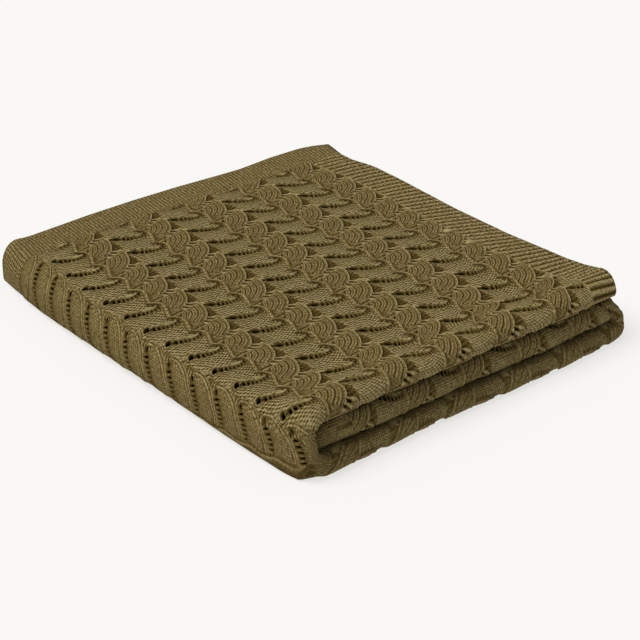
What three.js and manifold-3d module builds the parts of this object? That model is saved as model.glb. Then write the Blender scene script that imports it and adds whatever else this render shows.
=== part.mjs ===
// Knit throw blanket, folded: a leaf-and-fan lace panel with ribbed ends and two linked-on side bands.
// Millimetres, +Z up. The stack rests on z = 0, with its long side along Y and the folds along X.
//
// The blanket is folded in half across its width, with that fold (the hairpin) at the front, y = 0.
// The doubled strip is then folded in thirds: the top third ends in ribbing at the right, wraps down
// round the left edge, runs back along the floor, turns up at the right and ends tucked in the middle.
//
// Flat position on the cloth: t runs along the length from the ribbed end on top, and c runs across
// the width from the hairpin, positive on the outer half and negative on the inner half.
import * as THREE from "three";
import { mergeVertices } from "three/addons/utils/BufferGeometryUtils.js";
import Module from "manifold-3d";

const wasm = await Module();
wasm.setup();

// The flat blanket
const LENGTH = 1700;
const HALF_WIDTH = 650;
const BAND_WIDTH = 61;
const RIB_LENGTH = 52;
const SEAM_GAP = 0.7;
const PANEL_EDGE = HALF_WIDTH - BAND_WIDTH;

// Cloth thickness: the lace panel, and the finer band, whose face is flush with the panel's
const CLOTH = 6;
const BAND_CLOTH = 4;

// The pattern repeat, along the length and across the width, and where it is counted from
const REPEAT_T = 97.5;
const REPEAT_C = 44.7;
const FIRST_CHAIN_T = 100;
const FIRST_HINGE_C = 14;

// Where the cloth's length passes from one third of the fold to the next
const TOP_END_T = 530;
const LEFT_WRAP_END_T = 615;
const FLOOR_END_T = 1145;
const RIGHT_WRAP_END_T = 1192;

// The hairpin: how deep it is in y, and how much of the width each half of it takes
const HAIRPIN_DEPTH = 14;
const HAIRPIN_ARC = 20;

// Middle of the six cloths at the front lobes, from the floor up, and how far back the lobes reach
const LOBE_LEVELS = [3, 21, 29, 57, 65, 83];
const LOBE_REACH = 50;

// Corner radii of the outer cloth where it wraps round the left and right ends
const LEFT_TOP_RADIUS = 26;
const LEFT_FLOOR_RADIUS = 9;
const RIGHT_TOP_RADIUS = 14;
const RIGHT_FLOOR_RADIUS = 12;
const LEAST_RADIUS = 3.9;

// Room between the tucked end and the left wrap, by distance from the front
const TUCKED_END_GAP = [[20, 2], [90, 7]];

// Outline of the stack, by distance from the front: y, then the value there
const STACK_HEIGHT = [[0, 66], [100, 65], [400, 63], [560, 61], [600, 58], [650, 53]];
const LEFT_EDGE = [[0, 8], [30, 0], [70, -3], [147, -4], [312, -8], [515, -1], [566, 3], [607, 8], [650, 15]];
const RIGHT_EDGE = [[0, 536], [15, 548], [40, 560], [80, 565], [650, 567]];
const RIBBED_EDGE = [
  [0, 526], [15, 535], [40, 546], [86, 553], [150, 549], [221, 545], [330, 546],
  [456, 555], [530, 558], [590, 551], [615, 557], [650, 566],
];

// How far the hairpin stands back from y = 0, by position along the length
const FRONT_EDGE = [
  [0, 9], [60, 5], [130, 3], [230, 6], [330, 3], [430, 5], [520, 3], [570, 2], [610, 8], [700, 4],
  [820, 9], [930, 5], [1040, 8], [1120, 12], [1170, 14], [1230, 10], [1330, 6], [1430, 9], [1560, 5], [1700, 6],
];

// How far the band edges stand out past the even line at the back, by x
const BACK_EDGE = [
  [-10, -10], [40, -6], [75, 0], [160, 5], [236, 6], [309, 4], [380, -1], [416, -3], [477, 2], [533, -3], [572, -9],
];

// The groove between one leaf or fan and the next: distance right of the chain line, and rise
const GROOVE_LINE = [
  [0, 0], [12, 0.5], [23, 3], [32, 7], [40, 11], [47, 8], [53, -7], [62, -12], [72, -17], [80, -20.5],
  [88, -21.5], [94, -15], [REPEAT_T, 0],
];

// Relief of one repeat. Each row is a line of points along the cloth's width: its distance right of
// the chain line, then the height in the groove, just below it, and at the swell above the next groove.
const RELIEF = [
  { right: 0, groove: 0.5, below: 1.0, swell: 1.3 },
  { right: 15, groove: -0.9, below: 0.1, swell: 0.6 },
  { right: 33, groove: -0.9, below: 0.3, swell: 0.9 },
  { right: 47, groove: -0.4, below: 0.9, swell: 1.1 },
  { right: 57, groove: -1.3, below: -0.5, swell: 1.2 },
  { right: 80, groove: -1.4, below: -0.2, swell: 2.2 },
];
const BELOW_GROOVE = 8;
const SWELL_ABOVE_NEXT = 7;
const CHAIN_SWAY = { groove: 0, below: 6, swell: -3 };

// Places across the width that follow the hairpin's bend
const HAIRPIN_PLACES = [-17, -12, -6, 0, 6, 12, 17, 22];

// The relief fades out over this length above the floor, where the left wrap turns under
const RELIEF_FADE = 26;

// Swell and dip of the two lower lobes, where each chain line and the leaves between them pass
const LOBE_SWELL = 1;

// Ribbing at the end on top: rib pitch, height and slant across the length
const RIB_PITCH = 8;
const RIB_HEIGHT = 1;
const RIB_SLANT = 0.22;

// The largest eyelet of each repeat: distance right of the chain line, and size along and across
const LEAF_EYELET = { right: 55.5, along: 6, across: 5 };
const FAN_EYELET = { right: 40, along: 6, across: 4.6 };

// Middle of the stack's outline, which is the origin in plan
const ORIGIN = { x: 279.083, y: 324.269 };

// Value at `at` on a line through pairs of place and value
function along(pairs, at) {
  if (at <= pairs[0][0]) return pairs[0][1];
  for (let k = 1; k < pairs.length; k += 1) {
    const [place, value] = pairs[k];
    const [before, from] = pairs[k - 1];
    if (at <= place) {
      const share = (at - before) / (place - before);
      return from + (value - from) * share;
    }
  }
  return pairs[pairs.length - 1][1];
}

// The same line rounded at its points, by the mean of three places a little apart
function eased(pairs, at, reach = 12) {
  return (along(pairs, at - reach) + 2 * along(pairs, at) + along(pairs, at + reach)) / 4;
}

// Middle heights of the six cloths, from the floor up, at a distance y from the front
function levelsAt(y) {
  const loft = y < HAIRPIN_DEPTH ? 1 : Math.exp(-(((y - HAIRPIN_DEPTH) / LOBE_REACH) ** 2));
  const step = (eased(STACK_HEIGHT, y) - CLOTH) / 5;
  return LOBE_LEVELS.map((lobe, k) => {
    const flat = CLOTH / 2 + step * k;
    return flat + (lobe - flat) * loft;
  });
}

// Point a share of the way along an upright wrap with two round corners. side is -1 at the left,
// where it runs down, and 1 at the right, where it runs up.
function onWrap(share, side, edgeX, lowZ, highZ, highRadius, lowRadius) {
  const wall = Math.max(highZ - lowZ - highRadius - lowRadius, 0);
  const first = side < 0 ? highRadius : lowRadius;
  const last = side < 0 ? lowRadius : highRadius;
  const quarter = Math.PI / 2;
  const total = first * quarter + wall + last * quarter;
  let done = share * total;
  const startZ = side < 0 ? highZ : lowZ;
  const way = side < 0 ? -1 : 1;
  if (done < first * quarter) {
    const turn = done / first;
    return [edgeX - side * first * (1 - Math.sin(turn)), startZ + way * first * (1 - Math.cos(turn))];
  }
  done -= first * quarter;
  if (done < wall) return [edgeX, startZ + way * (first + done)];
  done -= wall;
  const turn = Math.min(done / last, quarter);
  return [edgeX - side * last * (1 - Math.cos(turn)), startZ + way * (first + wall + last * Math.sin(turn))];
}

// Corner radii that fit the height of a wrap
function fitted(height, high, low) {
  const scale = Math.min(1, height / (high + low));
  return [high * scale, low * scale];
}

// x and z of one half's cloth at t and y. outer is true for the half on the outside of both wraps.
function onPath(t, y, outer) {
  const level = levelsAt(y);
  const [floorZ, middleZ, topZ] = outer ? [level[0], level[3], level[5]] : [level[1], level[2], level[4]];
  const inset = outer ? 0 : level[1] - level[0];
  const leftX = eased(LEFT_EDGE, y) + inset;
  const rightX = eased(RIGHT_EDGE, y) - inset;
  const leftHigh = outer ? LEFT_TOP_RADIUS : Math.max(LEFT_TOP_RADIUS - inset, 6);
  const leftLow = outer ? LEFT_FLOOR_RADIUS : 6;
  const [leftTop, leftFloor] = fitted(topZ - floorZ, leftHigh, leftLow);
  const rightHigh = outer ? RIGHT_TOP_RADIUS : LEAST_RADIUS;
  const rightLow = outer ? RIGHT_FLOOR_RADIUS : LEAST_RADIUS;
  const [rightTop, rightFloor] = fitted(middleZ - floorZ, rightHigh, rightLow);
  if (t < TOP_END_T) {
    const share = t / TOP_END_T;
    const start = eased(RIBBED_EDGE, y, 6);
    return [start + (leftX + leftTop - start) * share, topZ];
  }
  if (t < LEFT_WRAP_END_T) {
    const share = (t - TOP_END_T) / (LEFT_WRAP_END_T - TOP_END_T);
    return onWrap(share, -1, leftX, floorZ, topZ, leftTop, leftFloor);
  }
  if (t < FLOOR_END_T) {
    const share = (t - LEFT_WRAP_END_T) / (FLOOR_END_T - LEFT_WRAP_END_T);
    const start = leftX + leftFloor;
    return [start + (rightX - rightFloor - start) * share, floorZ];
  }
  if (t < RIGHT_WRAP_END_T) {
    const share = (t - FLOOR_END_T) / (RIGHT_WRAP_END_T - FLOOR_END_T);
    return onWrap(share, 1, rightX, floorZ, middleZ, rightTop, rightFloor);
  }
  const share = (t - RIGHT_WRAP_END_T) / (LENGTH - RIGHT_WRAP_END_T);
  const start = rightX - rightTop;
  const end = eased(LEFT_EDGE, y) + level[1] - level[0] + CLOTH / 2 + along(TUCKED_END_GAP, y);
  return [start + (end - start) * share, middleZ];
}

// Middle of the cloth at flat place t, c, in the stack's own frame
function middleAt(t, c) {
  const s = Math.abs(c);
  const front = eased(FRONT_EDGE, t);
  const inHairpin = s < HAIRPIN_ARC;
  const turn = (Math.min(s / HAIRPIN_ARC, 1) * Math.PI) / 2;
  const depth = HAIRPIN_DEPTH * (1 - Math.cos(turn));
  const y = depth + (inHairpin ? 0 : s - HAIRPIN_ARC);
  const level = Math.max(y, HAIRPIN_DEPTH);
  const outer = onPath(t, inHairpin ? HAIRPIN_DEPTH : level, true);
  const inner = onPath(t, inHairpin ? HAIRPIN_DEPTH : level, false);
  const apart = (Math.sin(turn) * Math.sign(c)) / 2;
  let x = (outer[0] + inner[0]) / 2 + (outer[0] - inner[0]) * apart;
  const z = (outer[1] + inner[1]) / 2 + (outer[1] - inner[1]) * apart;
  const pull = along(RIBBED_EDGE, y) - along(RIBBED_EDGE, HAIRPIN_DEPTH);
  if (inHairpin) x += pull * Math.max(0, 1 - t / 120);
  const settle = Math.exp(-y / 140);
  const backward = (s / HALF_WIDTH) ** 3;
  return new THREE.Vector3(x, y + front * settle + along(BACK_EDGE, x) * backward, z);
}

// Outward direction of the cloth's face at t, c
function facing(t, c) {
  const d = 0.6;
  const alongT = middleAt(Math.min(t + d, LENGTH), c).sub(middleAt(Math.max(t - d, 0), c));
  const acrossC = middleAt(t, Math.min(c + d, HALF_WIDTH)).sub(middleAt(t, Math.max(c - d, -HALF_WIDTH)));
  return acrossC.cross(alongT).normalize();
}

// Point at a height over the middle of the cloth, towards its face
function lifted(t, c, height) {
  return middleAt(t, c).addScaledVector(facing(t, c), height);
}

// A line of points across the cloth at one place along its length. points: [t, c, height]
function makeRow(points) {
  return points.map(([t, c, height]) => ({ t, c, at: lifted(t, c, height) }));
}

// Triangles between two lines of points that run side by side, in order of the value `by`
function zip(triangles, first, second, by) {
  let i = 0;
  let j = 0;
  while (i < first.length - 1 || j < second.length - 1) {
    const stepFirst = j === second.length - 1
      || (i < first.length - 1 && first[i + 1][by] + first[i][by] <= second[j + 1][by] + second[j][by]);
    if (stepFirst) {
      triangles.push([first[i], first[i + 1], second[j]]);
      i += 1;
    } else {
      triangles.push([first[i], second[j + 1], second[j]]);
      j += 1;
    }
  }
}

// Closed sheet from rows of its face and rows of its back, each row in order of c
function sheetTriangles(faceRows, backRows) {
  const triangles = [];
  for (let k = 1; k < faceRows.length; k += 1) zip(triangles, faceRows[k - 1], faceRows[k], "c");
  for (let k = 1; k < backRows.length; k += 1) {
    const turned = [];
    zip(turned, backRows[k - 1], backRows[k], "c");
    for (const [p, q, r] of turned) triangles.push([p, r, q]);
  }
  const side = (rows, last) => rows.map((row) => row[last ? row.length - 1 : 0]);
  const edges = [];
  zip(edges, side(faceRows, false), side(backRows, false), "t");
  const opposite = [];
  zip(opposite, side(faceRows, true), side(backRows, true), "t");
  for (const [p, q, r] of opposite) edges.push([p, r, q]);
  const ends = [];
  zip(ends, faceRows[0], backRows[0], "c");
  for (const [p, q, r] of ends) edges.push([p, r, q]);
  zip(edges, faceRows[faceRows.length - 1], backRows[backRows.length - 1], "c");
  return triangles.concat(edges);
}

function geometryOf(triangles) {
  const numbers = triangles.flatMap((corners) => corners.flatMap(({ at }) => [at.x, at.y, at.z]));
  const geometry = new THREE.BufferGeometry();
  geometry.setAttribute("position", new THREE.Float32BufferAttribute(numbers, 3));
  return mergeVertices(geometry, 1e-4);
}

function solidOf(geometry) {
  const merged = geometry.index ? geometry : mergeVertices(geometry, 1e-4);
  return new wasm.Manifold(new wasm.Mesh({
    numProp: 3,
    vertProperties: merged.attributes.position.array,
    triVerts: new Uint32Array(merged.index.array),
  }));
}

function geometryFrom(solid) {
  const { vertProperties, triVerts, numProp } = solid.getMesh();
  const numbers = [];
  for (let k = 0; k < vertProperties.length; k += numProp) {
    numbers.push(vertProperties[k], vertProperties[k + 1], vertProperties[k + 2]);
  }
  const geometry = new THREE.BufferGeometry();
  geometry.setAttribute("position", new THREE.Float32BufferAttribute(numbers, 3));
  geometry.setIndex([...triVerts]);
  return geometry;
}

// Evenly spaced values from first to last, both included, no further apart than most
function steps(first, last, most) {
  const count = Math.max(1, Math.ceil(Math.abs(last - first) / most - 1e-6));
  return Array.from({ length: count + 1 }, (_, k) => first + ((last - first) * k) / count);
}

const unique = (values) => [...new Set(values.map((v) => Math.round(v * 100) / 100))].sort((a, b) => a - b);

// Places across the width for cloth that lies hidden, from the inner panel edge to a last place
function plainAcross(last = PANEL_EDGE) {
  const half = [0, 6, 12, 17, 22, 40, 65, 100, 170, 260, 350, 440, 520, PANEL_EDGE];
  return unique([...half.map((c) => -c), ...half]).filter((c) => c <= last + 1e-6);
}

// Places along the length for plain cloth: close together on the wraps
const PLAIN_ALONG = unique([
  0, 50, ...steps(50, TOP_END_T, 96), ...steps(TOP_END_T, LEFT_WRAP_END_T, 8.5),
  ...steps(LEFT_WRAP_END_T, FLOOR_END_T, 90), ...steps(FLOOR_END_T, RIGHT_WRAP_END_T, 6.8),
  ...steps(RIGHT_WRAP_END_T, LENGTH, 90),
]);

// Rows of the lace face where it shows, one for each relief line of each repeat
function laceRows(lastT) {
  const rows = [];
  const top = CLOTH / 2;
  for (let chain = 0; ; chain += 1) {
    const chainT = FIRST_CHAIN_T + REPEAT_T * (chain - 1);
    if (chainT - REPEAT_T > lastT) break;
    for (const line of [...RELIEF].reverse()) {
      const t = chainT + REPEAT_T - line.right;
      if (t <= RIB_LENGTH + 6 || t > lastT) continue;
      rows.push(makeRow(lacePoints(t, line, top)));
    }
  }
  return rows;
}

// Knots of one lace row's relief across the width: groove, below and swell of each repeat
function reliefKnots(line) {
  const rise = along(GROOVE_LINE, line.right);
  const sway = line.right === 0 ? CHAIN_SWAY : { groove: 0, below: 0, swell: 0 };
  const knots = [];
  for (let hinge = -1; hinge * REPEAT_C < PANEL_EDGE + REPEAT_C; hinge += 1) {
    const groove = FIRST_HINGE_C + REPEAT_C * hinge + rise;
    knots.push([groove - REPEAT_C + SWELL_ABOVE_NEXT, line.swell, sway.swell]);
    knots.push([groove - BELOW_GROOVE, line.below, sway.below]);
    knots.push([groove, line.groove, sway.groove]);
  }
  return knots.sort((p, q) => p[0] - q[0]);
}

// Points of one lace row: plain under the hairpin, close together round it, then at the relief's knots
function lacePoints(t, line, top) {
  const knots = reliefKnots(line);
  const strength = Math.min(1, Math.max(0, (LEFT_WRAP_END_T - t) / RELIEF_FADE));
  const points = plainAcross(-22).map((c) => [t, c, top]);
  for (const c of HAIRPIN_PLACES) points.push([t, c, top + along(knots, c) * strength]);
  for (const [c, height, shift] of knots) {
    if (c > 25 && c < PANEL_EDGE - 3) points.push([t - shift, c, top + height * strength]);
  }
  points.push([t, PANEL_EDGE, top]);
  return points;
}

// Rows of the ribbed end on top, with a rib and a furrow in every pitch on the outer half
function ribRows() {
  const top = CLOTH / 2;
  return [0, 26, RIB_LENGTH].map((t) => {
    const points = plainAcross(-22).map((c) => [t, c, top]);
    const slide = RIB_SLANT * (t - RIB_LENGTH / 2);
    const first = -14;
    const count = Math.floor((PANEL_EDGE - 8 - first) / (RIB_PITCH / 2));
    for (let k = 0; k <= count; k += 1) {
      const c = first + (RIB_PITCH / 2) * k + slide;
      points.push([t, c, top + (k % 2 ? RIB_HEIGHT : -RIB_HEIGHT * 0.4)]);
    }
    points.push([t, PANEL_EDGE, top]);
    return makeRow(points);
  });
}

// Places along the length for plain cloth, from a first to a last one
function plainPlaces(firstT, lastT) {
  return unique(PLAIN_ALONG.filter((t) => t > firstT && t < lastT).concat(firstT, lastT));
}

// Rows of plain cloth between two places along the length, at a height over its middle
function plainRows(firstT, lastT, height) {
  return plainPlaces(firstT, lastT).map((t) => makeRow(plainAcross().map((c) => [t, c, height])));
}

// Rows of the face under the stack and in the middle third, where only the lobes at the front show.
// Every half repeat has a row, and the hairpin swells and dips there by turns.
function lowerRows(firstT, lastT) {
  const top = CLOTH / 2;
  const swells = new Map();
  for (let k = 0; FIRST_CHAIN_T + (REPEAT_T / 2) * k < lastT; k += 1) {
    const t = FIRST_CHAIN_T + (REPEAT_T / 2) * k;
    const clear = t > firstT + 10 && (t < FLOOR_END_T - 10 || t > RIGHT_WRAP_END_T + 10);
    if (clear) swells.set(t, k % 2 ? -LOBE_SWELL : LOBE_SWELL);
  }
  const wrap = plainPlaces(FLOOR_END_T, RIGHT_WRAP_END_T);
  return unique([firstT, ...swells.keys(), ...wrap, lastT]).map((t) => {
    const swell = swells.get(t) ?? 0;
    return makeRow(plainAcross().map((c) => [t, c, top + (Math.abs(c) <= 12 ? swell : 0)]));
  });
}

// A four-sided pin through the cloth, which cuts one eyelet
function eyeletPin(t, c, size) {
  const reach = CLOTH;
  const corner = [[-1, 0], [0, -1], [1, 0], [0, 1]];
  const ring = (height) => corner.map(([dt, dc]) => {
    return { at: lifted(t + (dt * size.along) / 2, c + (dc * size.across) / 2, height) };
  });
  const high = ring(reach);
  const low = ring(-reach);
  const triangles = [
    [high[0], high[2], high[1]], [high[0], high[3], high[2]],
    [low[0], low[1], low[2]], [low[0], low[2], low[3]],
  ];
  for (let k = 0; k < 4; k += 1) {
    const next = (k + 1) % 4;
    triangles.push([high[k], high[next], low[next]], [high[k], low[next], low[k]]);
  }
  const solid = solidOf(geometryOf(triangles));
  return solid.volume() < 0 ? solidOf(geometryOf(triangles.map(([p, q, r]) => [p, r, q]))) : solid;
}

// Eyelets where the lace shows: beside each leaf on top, and at the head of each fan on the left wall
function eyeletPins() {
  const pins = [];
  for (let chain = 1; chain <= 5; chain += 1) {
    const chainT = FIRST_CHAIN_T + REPEAT_T * chain;
    for (let hinge = 0; hinge <= 12; hinge += 1) {
      const c = FIRST_HINGE_C + REPEAT_C * hinge;
      const leafC = c + along(GROOVE_LINE, LEAF_EYELET.right);
      pins.push(eyeletPin(chainT - LEAF_EYELET.right, leafC, LEAF_EYELET));
      if (chain === 5) {
        const fanC = c + along(GROOVE_LINE, FAN_EYELET.right);
        pins.push(eyeletPin(chainT - FAN_EYELET.right, fanC, FAN_EYELET));
      }
    }
  }
  return pins;
}

// Every row of the panel's face: ribbing, lace where it shows, then plain cloth to the tucked end
function panelFace() {
  const plainStart = LEFT_WRAP_END_T + 12;
  return [...ribRows(), ...laceRows(LEFT_WRAP_END_T), ...lowerRows(plainStart, LENGTH)];
}

function makePanel(faceRows) {
  const backRows = plainRows(0, LENGTH, -CLOTH / 2);
  const sheet = solidOf(geometryOf(sheetTriangles(faceRows, backRows)));
  return geometryFrom(sheet.subtract(wasm.Manifold.union(eyeletPins())));
}

// A side band follows the panel's folds along one long edge, with a row beside each of the panel's.
// side is 1 for the outer half and -1 for the inner half.
function makeBand(side, facePlaces) {
  const places = [PANEL_EDGE + SEAM_GAP, PANEL_EDGE + 22, PANEL_EDGE + 44, HALF_WIDTH].map((c) => c * side);
  places.sort((a, b) => a - b);
  const rowsOf = (list, height) => list.map((t) => makeRow(places.map((c) => [t, c, height])));
  const backPlaces = plainPlaces(0, LENGTH);
  const bandFace = rowsOf(facePlaces, CLOTH / 2);
  const bandBack = rowsOf(backPlaces, CLOTH / 2 - BAND_CLOTH);
  return geometryOf(sheetTriangles(bandFace, bandBack));
}

const laceYarn = new THREE.MeshStandardMaterial({ color: 0x786941, roughness: 0.92, metalness: 0 });
const bandYarn = new THREE.MeshStandardMaterial({ color: 0x746640, roughness: 0.92, metalness: 0 });

function named(name, geometry, material) {
  const mesh = new THREE.Mesh(geometry, material);
  mesh.name = name;
  return mesh;
}

const faceRows = panelFace();
const facePlaces = faceRows.map((row) => row[0].t);
const blanket = new THREE.Group();
blanket.add(named("panel", makePanel(faceRows), laceYarn));
blanket.add(named("side_band_outer", makeBand(1, facePlaces), bandYarn));
blanket.add(named("side_band_inner", makeBand(-1, facePlaces), bandYarn));
blanket.position.set(-ORIGIN.x, -ORIGIN.y, 0);

export default blanket;
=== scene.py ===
"""Looks of the folded lace-knit throw: a leaf-and-fan panel with ribbed ends and two plain side bands.

The cloth is drawn flat first, in millimetres: t runs along the length from the ribbed end on top, and c
across the width from the front fold, positive on the outer half. The fold then carries it into the frame.
"""

import math

import bpy
import numpy as np
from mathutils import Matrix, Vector
from mathutils.geometry import delaunay_2d_cdt


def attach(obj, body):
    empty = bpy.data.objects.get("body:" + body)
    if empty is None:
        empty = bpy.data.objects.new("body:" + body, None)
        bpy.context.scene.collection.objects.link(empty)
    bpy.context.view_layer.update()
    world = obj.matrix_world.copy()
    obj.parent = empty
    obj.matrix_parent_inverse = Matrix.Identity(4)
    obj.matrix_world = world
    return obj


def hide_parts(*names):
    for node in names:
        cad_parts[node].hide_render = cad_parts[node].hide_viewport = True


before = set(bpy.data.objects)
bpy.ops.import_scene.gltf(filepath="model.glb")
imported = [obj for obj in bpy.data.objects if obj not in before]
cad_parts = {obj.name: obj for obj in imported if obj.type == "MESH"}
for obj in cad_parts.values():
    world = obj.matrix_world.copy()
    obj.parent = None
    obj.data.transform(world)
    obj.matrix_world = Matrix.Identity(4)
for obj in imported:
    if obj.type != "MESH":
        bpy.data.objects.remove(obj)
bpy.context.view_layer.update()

MM = 0.001

# The flat blanket, as in the part's source
LENGTH = 1700.0
HALF_WIDTH = 650.0
BAND_WIDTH = 61.0
RIB_LENGTH = 52.0
SEAM_GAP = 0.7
PANEL_EDGE = HALF_WIDTH - BAND_WIDTH
CLOTH = 6.0
BAND_CLOTH = 4.0
REPEAT_T = 97.5
REPEAT_C = 44.7
FIRST_CHAIN_T = 100.0
FIRST_HINGE_C = 14.0

# The fold, as in the part's source, with its edges, corners and some radii set closer to the photograph. Its
# tables go by distance from the front, but for FRONT_EDGE, which goes by the length, and BACK_EDGE, by x.
TOP_END_T = 530.0
LEFT_WRAP_END_T = 615.0
FLOOR_END_T = 1145.0
RIGHT_WRAP_END_T = 1192.0
HAIRPIN_DEPTH = 14.0
HAIRPIN_ARC = 20.0
LOBE_LEVELS = (3, 21, 29, 57, 65, 83)
LOBE_REACH = 50.0
LEFT_TOP_RADIUS = 26.0
LEFT_FLOOR_RADIUS = (
    (0, 4), (60, 7), (140, 10), (200, 17), (300, 25), (400, 21), (540, 17), (590, 16), (650, 6),
)
LEAST_LEFT_RADIUS = 6.0
RIGHT_TOP_RADIUS = 40.0
RIGHT_FLOOR_RADIUS = 12.0
LEAST_RADIUS = 3.9
TUCKED_END_GAP = ((20, 2), (90, 7))
STACK_HEIGHT = ((0, 66), (100, 65), (400, 63), (560, 61), (600, 58), (650, 53))
LEFT_EDGE = ((0, 6), (30, -1), (70, -3), (147, -4), (312, -8), (515, -1), (566, 3), (607, 9), (650, 18))
RIGHT_EDGE = ((0, 525), (15, 537), (40, 553), (80, 562), (650, 567))
RIBBED_EDGE = (
    (0, 514), (15, 524), (40, 536), (86, 545), (150, 544), (221, 541), (330, 544),
    (456, 555), (515, 558), (545, 552), (566, 550), (580, 554), (600, 560), (622, 567), (650, 575),
)
INNER_RIBBED_EDGE_LIMIT = 558.0
RIBBED_EASE = 6.0
RIBBED_PULL_LENGTH = 120.0
FRONT_EDGE = (
    (0, 9), (60, 5), (130, 3), (230, 6), (330, 3), (430, 5), (520, 2), (570, -5), (610, -9), (700, -7),
    (820, -2), (930, -5), (1040, -4), (1120, 0), (1170, 10), (1230, 8), (1330, 4), (1430, 7),
    (1560, 3), (1700, 4),
)
FRONT_REACH = 140.0
BACK_EDGE = (
    (-10, -10), (40, -6), (75, 0), (160, 5), (236, 6), (309, 4),
    (380, -1), (416, -3), (477, 2), (530, 1), (552, -4), (574, -14),
)

# The back-left corner is lifted: by how much, at which x, and how far along x and from the back
LIFT = 7.5
LIFT_X = 20.0
LIFT_REACH = (30.0, 38.0)

# The top layer droops at its front-right corner: by how much, how far along the length and from the front,
# and the heights between which this grows
DROOP = 5.0
DROOP_REACH = (30.0, 40.0)
DROOP_LEVELS = (61.0, 83.0)

# Where the frame's origin lies in the stack's own millimetres
ORIGIN = (279.083, 324.269)

# The photograph's viewpoint, in the stack's own millimetres
CAMERA_AT = (-1194.0, -1457.0, 1191.0)
CAMERA_TARGET = (270.0, 288.0, 0.0)
LENS = 112.5
SENSOR = 36.0


def along(pairs, at):
    """Values on a line through pairs of place and value."""
    places, values = zip(*pairs)
    return np.interp(at, places, values)


def eased(pairs, at, reach=12.0):
    """The same line rounded at its points."""
    return (along(pairs, at - reach) + 2 * along(pairs, at) + along(pairs, at + reach)) / 4


def levels_at(y):
    """Middle heights of the six cloths, from the floor up, at distances y from the front."""
    loft = np.where(y < HAIRPIN_DEPTH, 1.0, np.exp(-(((y - HAIRPIN_DEPTH) / LOBE_REACH) ** 2)))
    step = (eased(STACK_HEIGHT, y) - CLOTH) / (len(LOBE_LEVELS) - 1)
    rows = []
    for k, lobe in enumerate(LOBE_LEVELS):
        flat = CLOTH / 2 + step * k
        rows.append(flat + (lobe - flat) * loft)
    return rows


def on_wrap(share, side, edge_x, low_z, high_z, high_radius, low_radius):
    """Points on an upright wrap with two round corners: down at the left (side -1), up at the right."""
    quarter = math.pi / 2
    wall = np.maximum(high_z - low_z - high_radius - low_radius, 0)
    first, last = (high_radius, low_radius) if side < 0 else (low_radius, high_radius)
    start_z, way = (high_z, -1.0) if side < 0 else (low_z, 1.0)
    done = share * (first * quarter + wall + last * quarter)
    turn = np.clip(done / first, 0, quarter)
    x = edge_x - side * first * (1 - np.sin(turn))
    z = start_z + way * first * (1 - np.cos(turn))
    straight = done - first * quarter
    x = np.where(straight > 0, edge_x, x)
    z = np.where(straight > 0, start_z + way * (first + straight), z)
    bend = straight - wall
    turn = np.clip(bend / last, 0, quarter)
    x = np.where(bend > 0, edge_x - side * last * (1 - np.cos(turn)), x)
    z = np.where(bend > 0, start_z + way * (first + wall + last * np.sin(turn)), z)
    return x, z


def on_path(t, y, outer):
    """x and z of one half's cloth. outer is the half on the outside of both wraps."""
    level = levels_at(y)
    floor_z, middle_z, top_z = (level[0], level[3], level[5]) if outer else (level[1], level[2], level[4])
    inset = 0 * y if outer else level[1] - level[0]
    left_x = eased(LEFT_EDGE, y) + inset
    right_x = eased(RIGHT_EDGE, y) - inset
    if outer:
        left_high = inset + LEFT_TOP_RADIUS
        left_low = inset + along(LEFT_FLOOR_RADIUS, y)
    else:
        left_high = np.maximum(LEFT_TOP_RADIUS - inset, LEAST_LEFT_RADIUS)
        left_low = inset * 0 + LEAST_LEFT_RADIUS
    scale = np.minimum(1, (top_z - floor_z) / (left_high + left_low))
    left_top, left_floor = left_high * scale, left_low * scale
    right_high, right_low = (RIGHT_TOP_RADIUS, RIGHT_FLOOR_RADIUS) if outer else (LEAST_RADIUS, LEAST_RADIUS)
    scale = np.minimum(1, (middle_z - floor_z) / (right_high + right_low))
    right_top, right_floor = right_high * scale, right_low * scale

    share = t / TOP_END_T
    start = eased(RIBBED_EDGE, y, RIBBED_EASE)
    if not outer:
        start = np.minimum(start, INNER_RIBBED_EDGE_LIMIT)
    x = start + (left_x + left_top - start) * share
    z = top_z + 0 * t
    share = (t - TOP_END_T) / (LEFT_WRAP_END_T - TOP_END_T)
    wrap_x, wrap_z = on_wrap(np.clip(share, 0, 1), -1, left_x, floor_z, top_z, left_top, left_floor)
    x, z = np.where(share > 0, wrap_x, x), np.where(share > 0, wrap_z, z)
    share = (t - LEFT_WRAP_END_T) / (FLOOR_END_T - LEFT_WRAP_END_T)
    start = left_x + left_floor
    x = np.where(share > 0, start + (right_x - right_floor - start) * share, x)
    z = np.where(share > 0, floor_z, z)
    share = (t - FLOOR_END_T) / (RIGHT_WRAP_END_T - FLOOR_END_T)
    wrap_x, wrap_z = on_wrap(np.clip(share, 0, 1), 1, right_x, floor_z, middle_z, right_top, right_floor)
    x, z = np.where(share > 0, wrap_x, x), np.where(share > 0, wrap_z, z)
    share = (t - RIGHT_WRAP_END_T) / (LENGTH - RIGHT_WRAP_END_T)
    start = right_x - right_top
    end = eased(LEFT_EDGE, y) + level[1] - level[0] + CLOTH / 2 + along(TUCKED_END_GAP, y)
    x = np.where(share > 0, start + (end - start) * share, x)
    z = np.where(share > 0, middle_z, z)
    return x, z


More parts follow.
